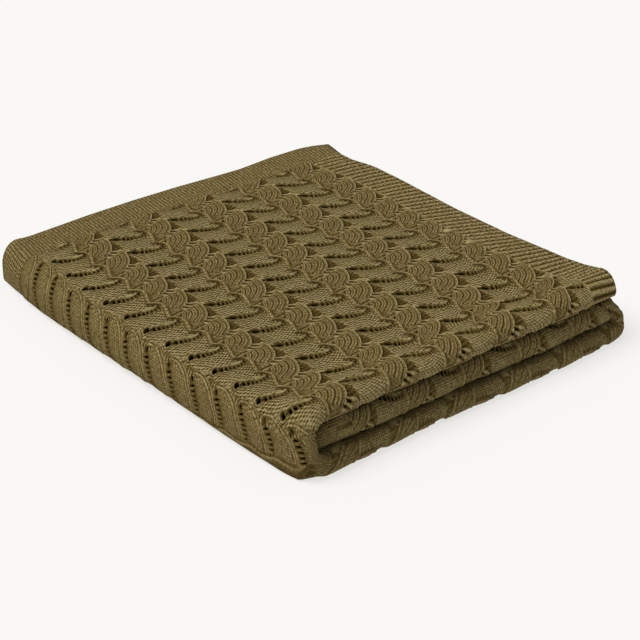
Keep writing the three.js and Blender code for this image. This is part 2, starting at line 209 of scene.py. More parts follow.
def middle_at(t, c):
    """Middle of the cloth at flat places, in the stack's own millimetres."""
    s = np.abs(c)
    in_hairpin = s < HAIRPIN_ARC
    turn = np.minimum(s / HAIRPIN_ARC, 1) * math.pi / 2
    y = HAIRPIN_DEPTH * (1 - np.cos(turn)) + np.where(in_hairpin, 0, s - HAIRPIN_ARC)
    level = np.maximum(y, HAIRPIN_DEPTH)
    outer_x, outer_z = on_path(t, level, True)
    inner_x, inner_z = on_path(t, level, False)
    apart = np.sin(turn) * np.sign(c) / 2
    x = (outer_x + inner_x) / 2 + (outer_x - inner_x) * apart
    z = (outer_z + inner_z) / 2 + (outer_z - inner_z) * apart
    pull = along(RIBBED_EDGE, y) - along(RIBBED_EDGE, HAIRPIN_DEPTH)
    x = x + np.where(in_hairpin, pull * np.maximum(0, 1 - t / RIBBED_PULL_LENGTH), 0)
    y = y + eased(FRONT_EDGE, t) * np.exp(-y / FRONT_REACH) + along(BACK_EDGE, x) * (s / HALF_WIDTH) ** 3
    corner = np.exp(-(((x - LIFT_X) / LIFT_REACH[0]) ** 2) - ((HALF_WIDTH - s) / LIFT_REACH[1]) ** 2)
    z = z + LIFT * corner * np.where(c > 0, z / STACK_HEIGHT[-1][1], 0)
    corner = np.exp(-((t / DROOP_REACH[0]) ** 2) - (s / DROOP_REACH[1]) ** 2)
    low, high = DROOP_LEVELS
    z = z - DROOP * corner * np.clip((z - low) / (high - low), 0, 1)
    return np.stack([x, y, z], axis=1)


def facing(t, c):
    """Outward directions of the cloth's face."""
    d = 0.6
    ahead = middle_at(np.minimum(t + d, LENGTH), c) - middle_at(np.maximum(t - d, 0), c)
    across = middle_at(t, np.minimum(c + d, HALF_WIDTH)) - middle_at(t, np.maximum(c - d, -HALF_WIDTH))
    out = np.cross(across, ahead)
    return out / np.linalg.norm(out, axis=1)[:, None]


def folded(t, c, height):
    """Places in the frame, in metres, at heights over the middle of the cloth."""
    point = middle_at(t, c) + facing(t, c) * height[:, None]
    return (point - np.array([ORIGIN[0], ORIGIN[1], 0.0])) * MM


# How far the repeats have drifted from even spacing, with a row for every place across
DRIFT_T = (90, 140, 188, 238, 285, 335, 383, 433, 480, 530)
DRIFT_C = (14, 59, 103, 148, 193, 282, 370, 460, 550)
DRIFT_LENGTHWAYS = (
    (34, 38, 40, 36, 35, 30, 29, 29, 31, 27),
    (34, 38, 40, 36, 35, 30, 29, 29, 31, 25),
    (11, 16, 15, 9, 8.5, 6.5, 5.5, 11, 15, 16),
    (3, 4.5, 5, 3, 1, 4.5, 4, 8, 8, 12),
    (0, -2.5, -2, -0.5, 0.5, 3, 4, 8.5, 6.5, 10.5),
    (-4, -7, -6.5, -4.5, -0.5, 2.5, 3.5, 4.5, 1.5, 9.5),
    (0, 1, -2, -6.3, -6, -2.2, 0.5, -1, -2.5, 7.5),
    (5.5, 4, 0.5, -6.3, -6.5, -7, -6, -3, -4.5, 6),
    (6, 1, 1, -4.7, -5, -8.8, -9.5, -9.5, -9, -4),
)
DRIFT_ACROSS = (
    (-20, -20, -20, -20, -20, -20, -20, -20, -20, -18),
    (-20, -20, -18, -18, -18, -18, -18, -18, -18, -16),
    (-12, -21, -4, -5, -2, -1, -2, -13, -5, -8.5),
    (-4, -11.5, 0, -0.5, 1.5, 2, 0.5, -6, -2.5, -8.5),
    (-2, -7, 0, 2.2, 4.5, 2.5, 1, -7.5, -1, -11.5),
    (-3, 1, 0, 4.5, 5.5, 4.5, 0, -4, -3.5, -10.5),
    (-5, -3, 1.5, 5, 5, 4.5, 2.5, -1.5, 1, -10.5),
    (-3.5, 0.5, 2, 7, 4, 5, 2.5, 0.5, 0.5, 0),
    (-4, 8, 3, 9, 5, 6.5, 5, 7, 2.5, 5),
)
WALL_DRIFT = ((32, 12), (110, 6), (245, 4), (333, -1), (468, -3), (514, -10), (565, -13))

# Curves of one repeat, in millimetres right of its chain line and up from its hinge
CHAIN = ((0, 0), (4, -5), (8, -11), (9.5, -15), (8, -22), (4, -32), (0.8, -40), (0, -44.7))
FAN_ARCS = (
    ((47.5, 10.5), (49.6, 3), (49.4, -3), (46.8, -11.5), (43.6, -18.9), (38, -26.8), (30, -34.2)),
    ((45.5, 4.5), (45.2, -3), (42.7, -11.9), (39.5, -19.5), (34, -25.8), (28.5, -30.2), (22.9, -33.9)),
    ((36.3, 0.8), (37, -4), (35.6, -10), (31.6, -16.6), (26, -21.8), (20, -26), (14, -29)),
    ((28.4, 0.0), (28, -5), (26.2, -10.5), (22.6, -15.3), (18, -19.5), (13.5, -22.6), (10.2, -24.6)),
    ((21.5, -1.8), (21, -4.5), (19.4, -7.8), (17.4, -10.8), (15.4, -13.2), (13.8, -14.8), (12.6, -16)),
    ((14.5, -3), (13.8, -4.2), (13, -5.4), (12.2, -6.6), (11.6, -7.6), (11.2, -8.6), (10.8, -9.6)),
)
FAN_TOP = ((2.6, -1.8), (10, -1.2), (15, -0.9), (20, 0.0), (25.5, 1.8))
FAN_GROOVE = ((2.3, 0.9), (10, 1.3), (14.9, 1.5), (20.5, 2.6))
FAN_FOOT = ((11, -31.5), (18, -35.2), (23.5, -37.2))
SLOT_BARS = (((35.5, 17.0), (43.6, 10.6)), ((31.1, 10.3), (39.3, 3.9)), ((25.1, 5.9), (30.7, 1.5)))
LADDER = (
    (52, -1.5), (57, -5.5), (62, -8.8), (67, -11.9), (73, -14.8),
    (80, -17), (88, -18.4), (96, -18.6), (105, -17),
)
LEAF_COLUMNS = 15
LEAF_ROWS = 12
WALL_LADDER = (
    (-22, -10.4), (-13, -7.9), (-4, -5.6), (4, -4), (12, -2.4), (20, 0), (27, 3.4), (34, 8), (40, 13),
)
WALL_FOOT = (
    (-22, -24), (-16, -30), (-9, -34), (-1, -36), (8, -35.8),
    (17, -33), (26, -28.4), (32.5, -22), (36.5, -15),
)
WALL_TIP = ((41.6, 1), (40, -7.5))
WALL_COLUMNS = 17
HEM_T = 601.0

# Relief and painted shade of a leaf or blade, by the share of the way from its ladder to its foot. The
# brightness is painted light and shade, darkest at the top under the ladder
LEAF_RISES = ((0, -0.6), (0.2, 0.4), (0.5, 1.4), (0.85, 2.0), (1, 1.6))
LEAF_PAINTED_SHADING = ((0, 0.68), (0.2, 0.78), (0.5, 0.9), (0.9, 0.88), (1, 1.0))
LEAF_BEADS = ((0, 0.9), (0.12, 1), (0.88, 1), (1, 0.2))
WALL_RISES = ((0, -0.8), (0.2, 0.3), (0.5, 1.4), (0.85, 1.8), (1, 1.0))
WALL_PAINTED_SHADING = ((0, 0.5), (0.2, 0.6), (0.8, 0.66), (1, 0.55))

# Cords beside a curve: gap from it, height over the cloth, and brightness, which paints light on the raised
# cords and shade on the sunk ones
WALL_CORDS = (
    (0.7, 0.3, 0.25), (1.7, 1.4, 0.74), (3.0, 1.6, 0.86),
    (4.2, -0.7, 0.16), (5.4, 1.0, 0.74), (6.6, 0.7, 0.62),
)
HOOK_CORDS = ((1.4, 1.4, 0.95), (2.8, -0.6, 0.1), (4.4, 0.9, 0.85))
HOOK_FOOT_CORDS = ((5.0, 1.9, 1.0), (6.4, -0.6, 0.12), (7.8, 1.2, 0.9))
HEM_CORDS = ((-3.2, -0.4, 0.25), (-1.6, 0.8, 0.6), (0.0, 1.2, 0.68), (1.6, 0.5, 0.45))

# Between two arcs of a fan: share of the way, height, and brightness, which paints light on the raised rows
# and shade in the sunk ones. Each ring between arcs has its own rise
FAN_STEPS = ((0.28, 0.7, 0.83), (0.54, -0.2, 0.36), (0.78, 0.6, 0.8), (1.0, -0.8, 0.06))
FAN_DOMES = (0.9, 1.4, 1.2, 0.9, 0.6)

# Sides of a chain: which side, and how much further out its line of painted highlight and its line of
# painted shade lie on the flat stretch
CHAIN_SIDES = ((1, 0.4, 0.6), (-1, 1.4, 2.0))

# How far apart the points of a fan's rows lie, about
STITCH_STEP = 2.6

# Openings of one repeat: middle, half size along and across, and turn in degrees
BIG_EYELET = (61.6, -5.6, 6.2, 4.1, -32)
HOOK_EYELET = (62.4, -5.6, 5.6, 3.2, 40)
LADDER_EYELETS = (
    (69.6, -11.0, 2.2, 4.6, -32), (74.8, -13.8, 2.1, 4.3, -27), (79.6, -15.8, 1.8, 3.6, -20),
    (84.0, -17.4, 1.8, 2.7, -14), (89.2, -18.2, 1.7, 2.4, -10), (94.2, -18.5, 1.5, 2.1, -6),
    (99.2, -18.2, 1.4, 1.8, -2),
)
HINGE_EYELETS = ((-4.6, -2.2, 1.3, 2.4, -45), (-1.0, -7.8, 1.4, 2.8, -45), (2.8, -13.4, 1.3, 2.6, -45))
FAN_SLOTS = ((37.6, 10.8, 4.8, 1.8, -39), (30.2, 6.6, 3.8, 1.3, -38), (45.6, 15.8, 2.6, 1.5, -42))
PANEL_OPENINGS = (BIG_EYELET, *LADDER_EYELETS, *HINGE_EYELETS, *FAN_SLOTS)
WALL_OPENINGS = (
    (36.6, 9.6, 4.2, 2.0, 38), (29.6, 5.2, 1.5, 4.2, 22), (24.0, 2.2, 1.5, 4.2, 18),
    (18.4, -0.2, 1.5, 4.0, 12), (12.8, -1.8, 1.5, 3.6, 10), (7.2, -3.0, 1.4, 3.2, 8),
    (1.8, -4.2, 1.3, 2.6, 8), (-3.4, -5.2, 1.1, 2.0, 8), (-8.6, -6.6, 1.1, 1.9, 12),
    (-13.6, -7.9, 1.1, 1.8, 14),
)
EYELET_SIDES = 8

# Room that lines leave round an opening, at their points and between them
POINT_ROOM = 0.45
LINE_ROOM = 0.3

# The column of repeats at the left edge, where the left wall's own motif begins. Its leaves lie further
# across near one place along the length: by how much, where, and how far this reaches
WALL_COLUMN = 5
EDGE_SHIFT = 4.5
EDGE_SHIFT_T = 520.0
EDGE_SHIFT_REACH = 25.0

# How far across the repeats lie on the lowest lobe at the front, and on the lobe over it
LOW_LOBE_SHIFT = 4.0
LOBE_SHIFT = 14.0


def paired(first, second):
    """Places from two coordinates, each of them one number or one for every place."""
    return np.stack(np.broadcast_arrays(first, second), axis=1)


def drift(t, c):
    """How far the pattern lies from its even place, along the length and across."""
    t = np.clip(t, DRIFT_T[0], DRIFT_T[-1])
    c = np.clip(c, DRIFT_C[0], DRIFT_C[-1])
    moved = []
    for table in (DRIFT_LENGTHWAYS, DRIFT_ACROSS):
        rows = np.stack([np.interp(t, DRIFT_T, row) for row in table])
        place = np.interp(c, DRIFT_C, np.arange(len(DRIFT_C)))
        low = np.minimum(place.astype(int), len(DRIFT_C) - 2)
        share = place - low
        share = share * share * (3 - 2 * share)
        which = np.arange(len(t))
        moved.append(rows[low, which] * (1 - share) + rows[low + 1, which] * share)
    return moved


def smooth_line(points, count):
    """A rounded curve through points, as evenly spaced places."""
    p = np.array(points, float)
    p = np.vstack([2 * p[0] - p[1], p, 2 * p[-1] - p[-2]])
    fine = []
    u = np.linspace(0, 1, 12, endpoint=False)[:, None]
    for k in range(1, len(p) - 2):
        a, b, m, n = p[k - 1], p[k], p[k + 1], p[k + 2]
        curve = 2 * b + (m - a) * u
        curve = curve + (2 * a - 5 * b + 4 * m - n) * u**2
        curve = curve + (3 * b - a - 3 * m + n) * u**3
        fine.append(0.5 * curve)
    fine = np.vstack(fine + [p[-2:-1]])
    run = np.concatenate([[0], np.cumsum(np.linalg.norm(np.diff(fine, axis=0), axis=1))])
    at = np.linspace(0, run[-1], count)
    return np.stack([np.interp(at, run, fine[:, k]) for k in range(2)], axis=1)


def beside(line, gap):
    """A line beside another, to the left of its way for a positive gap."""
    way = np.gradient(line, axis=0)
    way /= np.linalg.norm(way, axis=1)[:, None]
    return line + gap * paired(-way[:, 1], way[:, 0])


def round_opening(opening, room, angles):
    """Places round an opening, so much outside it, at angles counted from its long way."""
    a, b, half_long, half_wide, turn = opening
    lean = math.radians(turn)
    x = (half_long + room) * np.cos(angles)
    y = (half_wide + room) * np.sin(angles)
    right = a + x * math.cos(lean) - y * math.sin(lean)
    up = b + x * math.sin(lean) + y * math.cos(lean)
    return paired(right, up)


def patch(left, right, top, foot):
    """Places between four curves: rows go from top to foot, and columns from left to right."""
    rows, columns = len(left), len(top)
    s = np.linspace(0, 1, rows)[:, None, None]
    r = np.linspace(0, 1, columns)[None, :, None]
    sides = left[:, None] * (1 - r) + right[:, None] * r
    ends = top[None] * (1 - s) + foot[None] * s
    corners = (1 - s) * ((1 - r) * top[0] + r * top[-1]) + s * ((1 - r) * foot[0] + r * foot[-1])
    return sides + ends - corners


def point_in(polygon, a, b):
    """True for places inside a polygon."""
    inside = np.zeros(len(a), bool)
    px, py = polygon[:, 0], polygon[:, 1]
    for k in range(len(polygon)):
        x1, y1, x2, y2 = px[k - 1], py[k - 1], px[k], py[k]
        crosses = (y1 > b) != (y2 > b)
        with np.errstate(divide="ignore", invalid="ignore"):
            inside ^= crosses & (a < (x2 - x1) * (b - y1) / (y2 - y1) + x1)
    return inside


class Motif:
    """Lines and openings of one repeat. A line is places with a height, a brightness that paints light and
    shade, and a bead depth at each.
    """

    def __init__(self, parts, openings):
        angles = 2 * math.pi * (np.arange(EYELET_SIDES) + 0.5) / EYELET_SIDES
        self.openings = openings
        self.loops = [round_opening(opening, 0.0, angles) for opening in openings]
        self.lines = []
        for draw_part in parts:
            draw_part(self)
        self.clear_openings()

    def line(self, places, height, painted_shading, bead=0.3):
        """Keeps a line, with one height, painted brightness and bead for all its places or one for each."""
        values = np.empty((len(places), 3))
        values[:, 0] = height
        values[:, 1] = painted_shading
        values[:, 2] = bead
        self.lines.append((np.asarray(places, float), values))

    def make_chain(self):
        """The chain line: a raised cord on its hooked start, and flatter on the rest, with painted highlight
        on the cord and its near sides and painted shade in the sunk lines beside them.
        """
        count = 17
        whole = smooth_line(CHAIN, count)
        hook = np.clip((5.5 - np.arange(count)) / 2, 0, 1)
        flat = 1 - hook
        self.line(whole[:-1], 1.7, (0.96 * hook + 0.78 * flat)[:-1], 0.45)
        for side, wider_highlight, wider_shadow in CHAIN_SIDES:
            pale = side * (0.7 + wider_highlight * flat)[:, None]
            dark = side * (1.6 + wider_shadow * flat)[:, None]
            self.line(beside(whole, pale)[:-1], 1.0, (0.6 * hook + 0.7 * flat)[:-1], 0.35)
            self.line(beside(whole, dark)[:-1], -0.3, (0.1 * hook + 0.28 * flat)[:-1], 0.2)

    def make_fan(self):
        """The fan: rings of arcs, its raised rim, the bar and groove over it, and its foot. Painted
        highlight lies on the ridges, the rim and the bars over the slots, painted shadow beside the rim and
        painted shade in the grooves.
        """
        arcs = [smooth_line(arc, 29) for arc in FAN_ARCS]
        for outer, inner, dome in zip(arcs, arcs[1:], FAN_DOMES):
            for share, height, painted_shading in FAN_STEPS:
                ring = outer * (1 - share) + inner * share
                run = np.linalg.norm(np.diff(ring, axis=0), axis=1).sum()
                ring = smooth_line(ring[::4], max(4, int(run / STITCH_STEP)))
                self.line(ring, dome + height, painted_shading)
        rim = smooth_line(FAN_ARCS[0], 18)
        self.line(rim, 2.0, 1.0, 0.1)
        self.line(beside(rim, -1.0)[:-1], 1.6, 0.75, 0.2)
        self.line(beside(rim, 1.1)[:-1], -0.2, 0.1, 0.2)
        self.line(smooth_line(FAN_TOP, 10), 0.9, 0.9)
        self.line(smooth_line(FAN_GROOVE, 9), -1.0, 0.02)
        self.line(smooth_line(FAN_GROOVE, 8) + (0, 2.6), 0.6, 0.6)
        self.line(smooth_line(FAN_FOOT, 5), 0.8, 0.62, 0.6)
        for bar in SLOT_BARS:
            self.line(np.linspace(*bar, 4), 0.2, 1.0, 0.0)

    def make_wedge(self):
        """The sunk rows between a fan's rim and the leaf beside it, darkened with painted shade."""
        rim = smooth_line(FAN_ARCS[0], 13)
        for k, b in enumerate(range(2, -30, -3)):
            left = np.interp(-b, -rim[:, 1], rim[:, 0]) + 3.0
            right = 50.6 + 2.5 * math.sin(math.pi * min(max((-5.4 - b) / 37.6, 0), 1))
            if right - left < 1.5:
                continue
            count = max(2, int((right - left) / STITCH_STEP) + 1)
            places = paired(np.linspace(left, right, count), b + np.linspace(-1.5, 1.0, count))
            height, painted_shading = (-0.4, 0.4) if k % 2 == 1 else (-1.0, 0.1)
            self.line(places, height, painted_shading, 0.3)

    def make_leaf(self):
        """The leaf between its own ladder of eyelets and the next one below, with painted light and shade
        that follow its bulge and a painted shadow under its lower edge.
        """
        ladder = smooth_line(LADDER, LEAF_COLUMNS)
        top = ladder - (0, 3.9)
        foot = ladder - (0, REPEAT_C - 3.2)
        left = np.linspace(top[0], foot[0], LEAF_ROWS)
        left[:, 0] += 2.5 * np.sin(math.pi * np.linspace(0, 1, LEAF_ROWS))
        chain = smooth_line(CHAIN, 24)
        edge = beside(np.vstack([chain[8:], (chain - (0, REPEAT_C))[1:8]]), -4.6) + (REPEAT_T, 0)
        right = smooth_line(edge, LEAF_ROWS)
        top[-1], foot[-1] = right[0], right[-1]
        grid = patch(left, right, top, foot)
        r = np.linspace(0, 1, LEAF_COLUMNS)
        across = 0.35 + 0.65 * np.sin(math.pi * np.clip(r * 0.92 + 0.06, 0, 1))
        # Painted light: the leaf a little lighter across its middle, where it bulges highest
        painted_bulge_light = 0.97 + 0.06 * np.sin(math.pi * r)
        for k in range(LEAF_ROWS):
            v = k / (LEAF_ROWS - 1)
            rise = along(LEAF_RISES, v)
            painted_shading = along(LEAF_PAINTED_SHADING, v) * painted_bulge_light
            # Darker towards the leaf's lower right tip
            painted_shading = painted_shading * (1 - 0.35 * np.clip((r - 0.72) / 0.2, 0, 1) * np.clip((v - 0.55) / 0.3, 0, 1))
            self.line(grid[k], rise * (across if rise > 0 else 1), painted_shading, along(LEAF_BEADS, v))
        # Lines of painted shade left of the leaf, and a painted shadow under the leaf's lower edge, just
        # over the next ladder
        self.line(left[:-1] - (1.4, 0), -0.2, 0.42, 0.3)
        self.line(ladder[:-1] - (0, REPEAT_C - 2.6), 0.6 * across[:-1], 0.25, 0)
        self.line(ladder[:-1] - (0, REPEAT_C - 1.9), -0.9, 0.0, 0)
        self.make_bars(LADDER_EYELETS)

    def make_hook(self):
        """Cords round a leaf's left end and along its foot where no fan covers it, and short rows, with
        painted light on the raised cords and rows and painted shade between them.
        """
        ladder = smooth_line(LADDER, LEAF_COLUMNS)
        for gap, height, painted_shading in HOOK_FOOT_CORDS:
            self.line(ladder[:-2] - (0, REPEAT_C - gap), height, painted_shading, 0.15)
        angles = np.radians(np.linspace(20, 215, 10))
        for room, height, painted_shading in HOOK_CORDS:
            self.line(round_opening(HOOK_EYELET, room, angles), height, painted_shading, 0.2)
        for k, up in enumerate(np.arange(-13.0, -36.0, -2.3)):
            height, painted_shading = (0.5, 0.85) if k % 2 == 1 else (-0.8, 0.06)
            self.line([(45.5, up - 1.5), (48.8, up)], height, painted_shading, 0.1)

    def make_bars(self, eyelets):
        """Pale yarn between neighbouring eyelets, with painted shade at its ends by the eyelets."""
        for first, second in zip(eyelets, eyelets[1:]):
            middle = (np.array(first[:2]) + second[:2]) / 2
            angle = math.radians((first[4] + second[4]) / 2)
            away = np.array([-math.sin(angle), math.cos(angle)]) * (first[3] + second[3]) / 2
            self.line([middle - away, middle, middle + away], 0.2, (0.3, 0.62, 0.5), 0)

    def make_wall(self):
        """The left wall's blade beside its ladder, with cords along its border and plain rows below it.
        Painted shade darkens the blade under its ladder and at its foot, and the cords carry painted
        highlights and shade.
        """
        ladder = smooth_line(WALL_LADDER, WALL_COLUMNS)
        top = ladder - (0, 4.6)
        foot = smooth_line(WALL_FOOT, WALL_COLUMNS)
        left = np.linspace(top[0], foot[0], LEAF_ROWS)
        right = smooth_line((top[-1], *WALL_TIP, foot[-1]), LEAF_ROWS)
        grid = patch(left, right, top, foot)
        r = np.linspace(0, 1, WALL_COLUMNS)
        across = 0.35 + 0.65 * np.sin(math.pi * np.clip(r * 0.7 + 0.25, 0, 1))
        for k in range(LEAF_ROWS):
            v = k / (LEAF_ROWS - 1)
            rise = along(WALL_RISES, v)
            self.line(grid[k], rise * (across if rise > 0 else 1), along(WALL_PAINTED_SHADING, v), 0.5)
        border = smooth_line((*WALL_FOOT, *WALL_TIP[::-1], top[-1] + (0.6, 2.0)), 32)
        fade = np.interp(border[:, 0], (-22, 14), (0.35, 1))
        for gap, height, painted_shading in WALL_CORDS:
            self.line(beside(border, -gap), height * fade, 0.56 + (painted_shading - 0.56) * fade, 0.15)
        for gap in np.arange(6.5, 36, 3.4):
            row = ladder[:10] - (0, REPEAT_C - gap)
            below = row[:, 1] < np.interp(row[:, 0], foot[:, 0], foot[:, 1]) - 7.5
            if below.sum() > 1:
                self.line(row[below], 0.2, 0.58, 0.5)
        self.make_bars(WALL_OPENINGS[1:])

    def in_opening(self, places, room):
        """True for places in an opening of this repeat or of one beside it, or nearer to it than room."""
        inside = np.zeros(len(places), bool)
        for a, b, half_long, half_wide, turn in self.openings:
            angle = math.radians(turn)
            for step_a in (-REPEAT_T, 0, REPEAT_T):
                for step_b in (-REPEAT_C, 0, REPEAT_C):
                    x = places[:, 0] - a - step_a
                    y = places[:, 1] - b - step_b
                    long = (x * math.cos(angle) + y * math.sin(angle)) / (half_long + room)
                    wide = (y * math.cos(angle) - x * math.sin(angle)) / (half_wide + room)
                    inside |= long**2 + wide**2 < 1
        return inside

    def clear_openings(self):
        """Breaks the lines where they would cross an opening."""
        kept = []
        for places, values in self.lines:
            free = ~self.in_opening(places, POINT_ROOM)
            linked = np.ones(len(places) - 1, bool)
            for share in (0.25, 0.5, 0.75):
                linked &= ~self.in_opening(places[:-1] * (1 - share) + places[1:] * share, LINE_ROOM)
            run = []
            for k in range(len(places)):
                if free[k]:
                    run.append(k)
                if run and (k == len(places) - 1 or not free[k] or not linked[k]):
                    kept.append((places[run], values[run]))
                    run = []
        self.lines = kept


# Where the fine lace ends: on top and on the left wall, and across on the lowest lobe and the one over it
LACE_END_T = LEFT_WRAP_END_T + 10
LACE_FIRST_C = -27
LACE_LAST_C = PANEL_EDGE - 1.5
LOW_LOBE_C = (-32, 12)
LOBE_C = (-18, 40)

# Points nearer than this, in millimetres, are one point
MERGE_DISTANCE = 0.02


def in_lace(t, c, margin=0.0):
    """True where the fine lace is drawn: on top, on the left wall and at the front of the lower lobes."""
    shown = (t < LACE_END_T - margin) & (c > LACE_FIRST_C + margin) & (c < LACE_LAST_C - margin)
    low = t < RIGHT_WRAP_END_T
    first_c = np.where(low, LOW_LOBE_C[0], LOBE_C[0])
    last_c = np.where(low, LOW_LOBE_C[1], LOBE_C[1])
    lobes = (c > first_c + margin) & (c < last_c - margin)
    lobes &= t < LENGTH - RIB_LENGTH - margin
    return (t > RIB_LENGTH + 3 + margin) & (shown | lobes)


class FlatCloth:
    """Points and lines of the flat cloth, to be triangulated. Every point has a height, a brightness that
    paints light and shade, and a bead.
    """

    def __init__(self):
        self.places = []
        self.values = []
        self.edges = []
        self.count = 0

    def add(self, places, values, closed=False, joined=True):
        """Adds points, joined in a line unless told otherwise. Returns the number of the first."""
        n = len(places)
        base = self.count
        self.places.append(np.asarray(places, float))
        self.values.append(np.broadcast_to(np.asarray(values, float), (n, 3)))
        self.count += n
        if joined:
            self.edges.extend((base + k, base + k + 1) for k in range(n - 1))
            if closed:
                self.edges.append((base + n - 1, base))
        return base

    def triangulate(self):
        """Places, values and triangles, and the place of every point that was added."""
        places = np.vstack(self.places)
        values = np.vstack(self.values)
        verts = [Vector(p) for p in places]
        made, _, faces, origin, _, _ = delaunay_2d_cdt(verts, self.edges, [], 0, MERGE_DISTANCE)
        flat = np.array([tuple(v) for v in made])
        found = np.full((len(flat), 3), np.nan)
        for k, inputs in enumerate(origin):
            if inputs:
                found[k] = values[inputs[0]]
        place_of = {added: k for k, inputs in enumerate(origin) for added in inputs}
        triangles = np.array([f[:3] for f in faces])
        for k in np.nonzero(np.isnan(found[:, 0]))[0]:
            near = triangles[(triangles == k).any(axis=1)].ravel()
            found[k] = np.nanmean(found[near], axis=0)
        return flat, found, triangles, place_of


# Height, brightness and bead of plain cloth, and of the rim of an opening, whose low brightness is painted
# shade
PLAIN = (0.0, 0.6, 0.8)
SHADED_EYELET_RIM = (-0.7, 0.3, 0.0)

# How far inside the lace an opening has to lie
OPENING_MARGIN = 1.5


def draw_lace(face, back):
    """Puts every repeat's lines on the face and its openings through face and back."""
    all_parts = (Motif.make_chain, Motif.make_fan, Motif.make_wedge, Motif.make_leaf)
    whole = Motif(all_parts, PANEL_OPENINGS)
    leaf_only = Motif((Motif.make_leaf, Motif.make_hook), (HOOK_EYELET, *LADDER_EYELETS))
    wall = Motif((Motif.make_wall,), WALL_OPENINGS)
    lobe = Motif(all_parts, (*LADDER_EYELETS, *FAN_SLOTS))
    low_lobe = Motif(all_parts, LADDER_EYELETS)
    holes = []

    def place(motif, column, row, moved, first_t=0.0, last_t=LENGTH):
        """Puts one repeat on the cloth, as far as it lies between two places along the length."""
        chain_t = FIRST_CHAIN_T + REPEAT_T * column
        hinge_c = FIRST_HINGE_C + REPEAT_C * row

        def on_cloth(places):
            t = chain_t - places[:, 0]
            c = hinge_c + places[:, 1]
            shift_t, shift_c = moved(t, c)
            return t + shift_t, c + shift_c

        for places, values in motif.lines:
            t, c = on_cloth(places)
            inside = in_lace(t, c) & (t > first_t) & (t < last_t)
            for run in np.split(np.arange(len(t)), np.nonzero(~inside)[0]):
                run = run[inside[run]]
                if len(run):
                    face.add(paired(t[run], c[run]), values[run])
        for loop in motif.loops:
            t, c = on_cloth(loop)
            inside = in_lace(t, c, OPENING_MARGIN)
            inside &= (t > first_t + OPENING_MARGIN) & (t < last_t - OPENING_MARGIN)
            if not inside.all():
                continue
            places = paired(t, c)
            upper = face.add(places, SHADED_EYELET_RIM, closed=True)
            lower = back.add(places, SHADED_EYELET_RIM, closed=True)
            holes.append((upper, lower, places.mean(axis=0), places))

    def on_edge(t, c):
        shift_t, shift_c = drift(t, c)
        return shift_t, shift_c + EDGE_SHIFT * np.exp(-(((t - EDGE_SHIFT_T) / EDGE_SHIFT_REACH) ** 2))

    def on_wall(t, c):
        return along(WALL_DRIFT, c), 0 * c

    def on_lobes(t, c):
        return 0 * t, np.where(t > RIGHT_WRAP_END_T, LOBE_SHIFT, LOW_LOBE_SHIFT)

    for row in range(-2, 15):
        for column in range(-1, WALL_COLUMN):
            place(whole, column, row, drift)
        place(leaf_only, WALL_COLUMN, row, on_edge)
        place(wall, WALL_COLUMN, row, on_wall, 0.0, HEM_T - 5)
    for row in range(-2, 2):
        for column in range(WALL_COLUMN + 1, 17):
            chosen = lobe if FIRST_CHAIN_T + REPEAT_T * column > RIGHT_WRAP_END_T + 20 else low_lobe
            place(chosen, column, row, on_lobes, LEFT_WRAP_END_T + 12)
    return holes


def draw_hem(face):
    """The wavy cord along the foot of the left wall, with painted highlight and shade, and plain rows below
    it, darkened with painted shade near the floor.
    """
    c = np.arange(20.0, PANEL_EDGE - 3, 3.5)
    wave = 1.6 * np.sin(2 * math.pi * (c - FIRST_HINGE_C) / REPEAT_C)
    for step, height, painted_shading in HEM_CORDS:
        face.add(paired(HEM_T + step + wave, c), (height, painted_shading, 0.15))
    for t in np.arange(HEM_T + 6, LEFT_WRAP_END_T + 12, 4.5):
        face.add(paired(t, c[::3]), (0.0, 0.4, 0.5))


def spaced(first, last, gap):
    """Even places from first to last, with both ends and no wider than gap."""
    count = max(1, int(math.ceil((last - first) / gap - 1e-6)))
    return np.linspace(first, last, count + 1)


def length_places(gap, wrap_gap):
    """Places along the length, close together on the wraps."""
    stops = (
        (0, TOP_END_T, gap),
        (TOP_END_T, LEFT_WRAP_END_T, wrap_gap),
        (LEFT_WRAP_END_T, FLOOR_END_T, gap),
        (FLOOR_END_T, RIGHT_WRAP_END_T, wrap_gap),
        (RIGHT_WRAP_END_T, LENGTH, gap),
    )
    return np.unique(np.concatenate([spaced(*stop) for stop in stops]))


def width_places(gap):
    """Places across the panel, close together round the front fold."""
    half = np.concatenate([spaced(0, 24, 3), spaced(24, 60, 12), spaced(60, PANEL_EDGE, gap)])
    return np.unique(np.concatenate([-half, half]))


def outline(cloth, gap):
    """The panel's own edge, with the same points on face and back."""
    t = length_places(gap, 4.0)
    c = width_places(gap)
    loop = np.vstack([
        paired(t, -PANEL_EDGE),
        paired(LENGTH, c[1:]),
        paired(t[-2::-1], PANEL_EDGE),
        paired(0.0, c[-2:0:-1]),
    ])
    cloth.add(loop, PLAIN, closed=True)
    return loop


def coarse_points(cloth, round_lace=False):
    """Sparse points over the cloth, or only round the lace and the ribs."""
    t, c = np.meshgrid(length_places(28, 5.0)[1:-1], width_places(34)[1:-1])
    t, c = t.ravel(), c.ravel()
    if round_lace:
        keep = (t > RIB_LENGTH + 8) & ~in_lace(t, c, -3.0)
        t, c = t[keep], c[keep]
    cloth.add(paired(t, c), PLAIN, joined=False)


# The ribbed end: how far apart its ribs lie, how they slant by distance from the front, and the height,
# brightness and bead of the lines of one rib, whose brightness paints light on the ridges and shade in the
# grooves
RIB_PITCH = 11.6
RIB_SLANT = (
    (0, 0.05), (90, 0.12), (160, 0.35), (230, 0.5), (300, 0.45), (370, 0.35), (450, 0.2), (550, 0.1),
)
RIB_STEPS = ((1.3, 0.95, 0.5), (0.9, 0.8, 0.5), (-0.9, 0.2, 0.5), (-0.9, 0.22, 0.5), (0.9, 0.85, 0.5))


